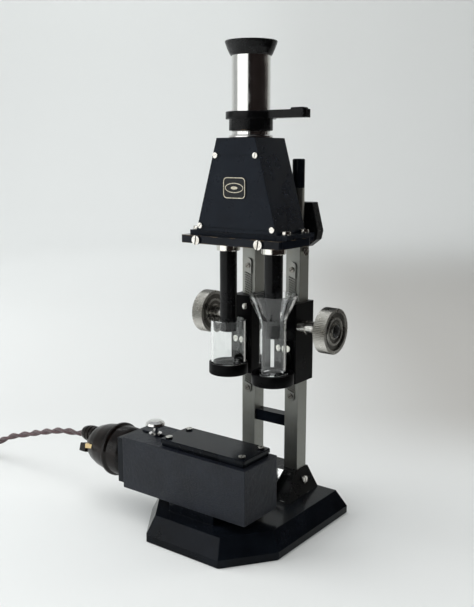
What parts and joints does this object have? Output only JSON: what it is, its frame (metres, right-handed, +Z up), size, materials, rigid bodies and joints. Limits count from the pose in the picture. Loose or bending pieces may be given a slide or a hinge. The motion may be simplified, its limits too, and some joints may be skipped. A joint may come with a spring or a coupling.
{
  "type": "visual colorimeter",
  "caption": "Plunger colorimeter: two glass cups on racked stages rise round fixed plungers below a prism housing and eyepiece, over a base with a lamp box and corded lampholder.",
  "frame": {"origin": "centre of the base's underside, on the table", "axes": "+Z up through the columns and eyepiece, +X to the user's right, +Y to the back, where the columns are"},
  "size_m": [0.4307, 0.1886, 0.36],
  "materials": {
    "black_enamel": "gloss",
    "housing_paint": "satin",
    "foot_paint": "satin",
    "stage_paint": "satin",
    "tube_black": "satin",
    "column_steel": "brushed",
    "rack_steel": "satin",
    "bright_screws": "polished",
    "collar_steel": "polished",
    "knob_steel": "satin",
    "knob_centre": "gloss",
    "chrome": "polished",
    "badge_metal": "satin",
    "ebonite": "gloss",
    "optic_glass": "clear",
    "cup_glass": "clear",
    "window_glass": "ground",
    "mirror": "polished",
    "lamp_leatherette": "satin",
    "lamp_black": "satin",
    "bakelite": "gloss",
    "brass": "polished",
    "bulb_glass": "clear",
    "flex_braid": "woven",
    "plug_black": "gloss"
  },
  "bodies": {
    "stand": {"base": "black_enamel", "foot": "foot_paint", "side_screws": "bright_screws", "reflector": "mirror", "column_caps": "black_enamel", "rack_screws": "bright_screws", "left_column": "column_steel", "right_column": "column_steel", "left_rack": "rack_steel", "right_rack": "rack_steel", "crossbar": "black_enamel", "head_bracket": "foot_paint", "plate_screws": "bright_screws", "housing_screws": "bright_screws", "left_plunger_tube": "tube_black", "right_plunger_tube": "tube_black", "plunger_collars": "collar_steel", "plunger_rods": "tube_black", "head_plate": "black_enamel", "front_screws": "bright_screws", "prism_housing": "housing_paint", "front_plate": "housing_paint", "badge": "badge_metal", "prisms": "optic_glass", "eyepiece_socket": "chrome", "lamp_box": "lamp_leatherette", "diffuser": "window_glass", "cover_screws": "bright_screws", "cover_plate": "black_enamel"},
    "left_stage": {"left_carriage": "stage_paint", "left_cup_holder": "stage_paint", "left_stage_screws": "bright_screws", "straight_cup": "cup_glass"},
    "right_stage": {"right_carriage": "stage_paint", "right_cup_holder": "stage_paint", "right_stage_screws": "bright_screws", "hock_cup": "cup_glass"},
    "left_drive": {"left_pinion_shaft": "collar_steel", "left_knob": "knob_steel", "left_knob_cap": "knob_centre"},
    "right_drive": {"right_pinion_shaft": "collar_steel", "right_knob": "knob_steel", "right_knob_cap": "knob_centre"},
    "collar_ring": {"collar": "tube_black"},
    "draw": {"draw_tube": "chrome", "eyecup": "ebonite", "lenses": "optic_glass"},
    "lamp": {"lamp_carriage": "lamp_black", "lampholder": "bakelite", "skirt_ring": "bakelite", "bulb": "bulb_glass", "bulb_cap": "brass", "cord_grip": "bakelite", "terminal": "brass", "flex": "flex_braid", "flex_coil": "flex_braid", "plug": "plug_black", "plug_pins": "brass"},
    "clamp": {"clamp_knob": "chrome"},
    "switch": {"switch_bar": "bakelite"}
  },
  "joints": [
    {"name": "left_stage_slide", "type": "slide", "parent": "stand", "child": "left_stage", "axis": [0, 0, 1], "range_m": [-0.03, 0.026]},
    {"name": "left_knob_turn", "type": "hinge", "parent": "left_stage", "child": "left_drive", "pos_m": [-0.057, 0.039, 0.1545], "axis": [1, 0, 0], "range_deg": [-415.8, 479.5]},
    {"name": "right_stage_slide", "type": "slide", "parent": "stand", "child": "right_stage", "axis": [0, 0, 1], "range_m": [-0.03, 0.026]},
    {"name": "right_knob_turn", "type": "hinge", "parent": "right_stage", "child": "right_drive", "pos_m": [0.057, 0.039, 0.1525], "axis": [1, 0, 0], "range_deg": [-415.8, 479.5]},
    {"name": "collar_turn", "type": "hinge", "parent": "stand", "child": "collar_ring", "pos_m": [0, 0.017, 0.305], "axis": [0, 0, 1], "range_deg": [-25, 25]},
    {"name": "eyepiece_draw", "type": "slide", "parent": "stand", "child": "draw", "axis": [0, 0, 1], "range_m": [0, 0.006]},
    {"name": "lamp_slide", "type": "slide", "parent": "stand", "child": "lamp", "axis": [1, 0, 0], "range_m": [-0.014, 0.007]},
    {"name": "clamp_turn", "type": "hinge", "parent": "lamp", "child": "clamp", "pos_m": [-0.057, -0.0291, 0.068], "axis": [0, 0, 1], "range_deg": [0, 180]},
    {"name": "switch_push", "type": "slide", "parent": "lamp", "child": "switch", "axis": [0, 0.9613, -0.2756], "range_m": [-0.003, 0.003]}
  ],
  "couplings": [
    {"joint": "left_knob_turn", "follows": "left_stage_slide", "rad_per_m": -277.78},
    {"joint": "right_knob_turn", "follows": "right_stage_slide", "rad_per_m": -277.78}
  ]
}
